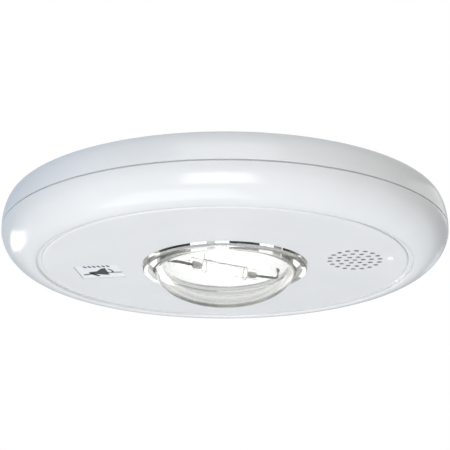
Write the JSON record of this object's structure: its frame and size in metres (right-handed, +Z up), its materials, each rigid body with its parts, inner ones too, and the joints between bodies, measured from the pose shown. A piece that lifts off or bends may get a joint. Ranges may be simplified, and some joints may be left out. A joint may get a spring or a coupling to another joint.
{
  "type": "horn strobe",
  "caption": "Round ceiling horn strobe: two-part white body, clear domed flash lens, oval sound port, twist-lock base with wiring terminals.",
  "frame": {"origin": "centre of the mounting face, on the ceiling plane", "axes": "+Z up into the ceiling, lens faces -Z; +X from the lens towards the sound port; -X towards the label"},
  "size_m": [0.175, 0.175, 0.0394],
  "materials": {
    "shell_white": "smooth gloss moulded plastic, faint orange peel",
    "face_white": "fine satin texture",
    "housing_white": "satin moulded plastic",
    "lens_clear": "clear polished polycarbonate",
    "reflector_white": "bright white reflective finish",
    "tube_glass": "clear glass",
    "electrode_metal": "sintered grey metal",
    "lead_metal": "dull drawn wire",
    "trigger_metal": "bright fine wire",
    "label_paper": "satin printed label",
    "light_pipe_opal": "milky moulded plastic",
    "lamp_resin": "tinted resin",
    "screen_cloth": "fine woven mesh",
    "chamber_black": "satin black moulding",
    "seal_rubber": "soft black rubber",
    "piezo_brass": "rolled sheet",
    "piezo_ceramic": "silvered ceramic",
    "wire_red": "wire insulation",
    "board_green": "solder mask over fibreglass",
    "capacitor_sleeve": "shrunk sleeve",
    "tinned_wire": "tinned wire",
    "core_ferrite": "matt ferrite",
    "winding_copper": "enamelled copper",
    "coil_body": "varnished winding tape",
    "component_black": "moulded epoxy",
    "switch_body": "moulded nylon",
    "switch_knob": "moulded nylon",
    "terminal_body": "moulded nylon",
    "contact_metal": "tin-plated spring bronze",
    "screw_steel": "zinc plated"
  },
  "bodies": {
    "base": {"base_plate": "shell_white", "terminal_block": "terminal_body", "contact_clips": "contact_metal"},
    "head": {"front_cover": "shell_white", "face_plate": "face_white", "rear_housing": "housing_white", "lens": "lens_clear", "reflector": "reflector_white", "flash_tube": "tube_glass", "tube_electrodes": "electrode_metal", "tube_leads": "lead_metal", "trigger_wire": "trigger_metal", "label_insert": "label_paper", "indicator_light_pipe": "light_pipe_opal", "status_lamp": "lamp_resin", "dust_screen": "screen_cloth", "horn_chamber": "chamber_black", "sounder_ring": "seal_rubber", "piezo_disc": "piezo_brass", "piezo_ceramic": "piezo_ceramic", "piezo_wires": "wire_red", "circuit_board": "board_green", "flash_capacitor": "capacitor_sleeve", "capacitor_leads": "tinned_wire", "inductor_core": "core_ferrite", "inductor_winding": "winding_copper", "trigger_coil": "coil_body", "power_transistor": "component_black", "control_chip": "component_black", "chip_legs": "tinned_wire", "rectifier_diodes": "component_black", "filter_capacitor": "capacitor_sleeve", "contact_blades": "contact_metal", "cover_screws": "screw_steel", "board_screws": "screw_steel", "candela_switch_body": "switch_body", "volume_switch_body": "switch_body", "tone_switch_body": "switch_body"},
    "candela_selector": {"candela_slider": "switch_knob"},
    "volume_selector": {"volume_slider": "switch_knob"},
    "tone_selector": {"tone_slider": "switch_knob"},
    "clamp_1": {"clamp_plate_1": "screw_steel"},
    "screw_1": {"terminal_screw_1": "screw_steel"},
    "clamp_2": {"clamp_plate_2": "screw_steel"},
    "screw_2": {"terminal_screw_2": "screw_steel"},
    "clamp_3": {"clamp_plate_3": "screw_steel"},
    "screw_3": {"terminal_screw_3": "screw_steel"},
    "clamp_4": {"clamp_plate_4": "screw_steel"},
    "screw_4": {"terminal_screw_4": "screw_steel"}
  },
  "joints": [
    {"name": "head_twist", "type": "hinge", "parent": "base", "child": "head", "pos_m": [0, 0, 0], "axis": [0, 0, -1], "range_deg": [0, 14]},
    {"name": "candela_slide", "type": "slide", "parent": "head", "child": "candela_selector", "axis": [1, 0, 0], "range_m": [0, 0.01]},
    {"name": "volume_slide", "type": "slide", "parent": "head", "child": "volume_selector", "axis": [1, 0, 0], "range_m": [0, 0.004]},
    {"name": "tone_slide", "type": "slide", "parent": "head", "child": "tone_selector", "axis": [1, 0, 0], "range_m": [0, 0.004]},
    {"name": "clamp_1_lift", "type": "slide", "parent": "base", "child": "clamp_1", "axis": [0, 0, -1], "range_m": [0, 0.0018]},
    {"name": "terminal_1_turn", "type": "hinge", "parent": "clamp_1", "child": "screw_1", "pos_m": [-0.0132, -0.0225, -0.006], "axis": [0, 0, 1], "range_deg": [0, 1080]},
    {"name": "clamp_2_lift", "type": "slide", "parent": "base", "child": "clamp_2", "axis": [0, 0, -1], "range_m": [0, 0.0018]},
    {"name": "terminal_2_turn", "type": "hinge", "parent": "clamp_2", "child": "screw_2", "pos_m": [-0.0044, -0.0225, -0.006], "axis": [0, 0, 1], "range_deg": [0, 1080]},
    {"name": "clamp_3_lift", "type": "slide", "parent": "base", "child": "clamp_3", "axis": [0, 0, -1], "range_m": [0, 0.0018]},
    {"name": "terminal_3_turn", "type": "hinge", "parent": "clamp_3", "child": "screw_3", "pos_m": [0.0044, -0.0225, -0.006], "axis": [0, 0, 1], "range_deg": [0, 1080]},
    {"name": "clamp_4_lift", "type": "slide", "parent": "base", "child": "clamp_4", "axis": [0, 0, -1], "range_m": [0, 0.0018]},
    {"name": "terminal_4_turn", "type": "hinge", "parent": "clamp_4", "child": "screw_4", "pos_m": [0.0132, -0.0225, -0.006], "axis": [0, 0, 1], "range_deg": [0, 1080]}
  ],
  "couplings": [
    {"joint": "terminal_1_turn", "follows": "clamp_1_lift", "rad_per_m": 10472},
    {"joint": "terminal_2_turn", "follows": "clamp_2_lift", "rad_per_m": 10472},
    {"joint": "terminal_3_turn", "follows": "clamp_3_lift", "rad_per_m": 10472},
    {"joint": "terminal_4_turn", "follows": "clamp_4_lift", "rad_per_m": 10472}
  ]
}
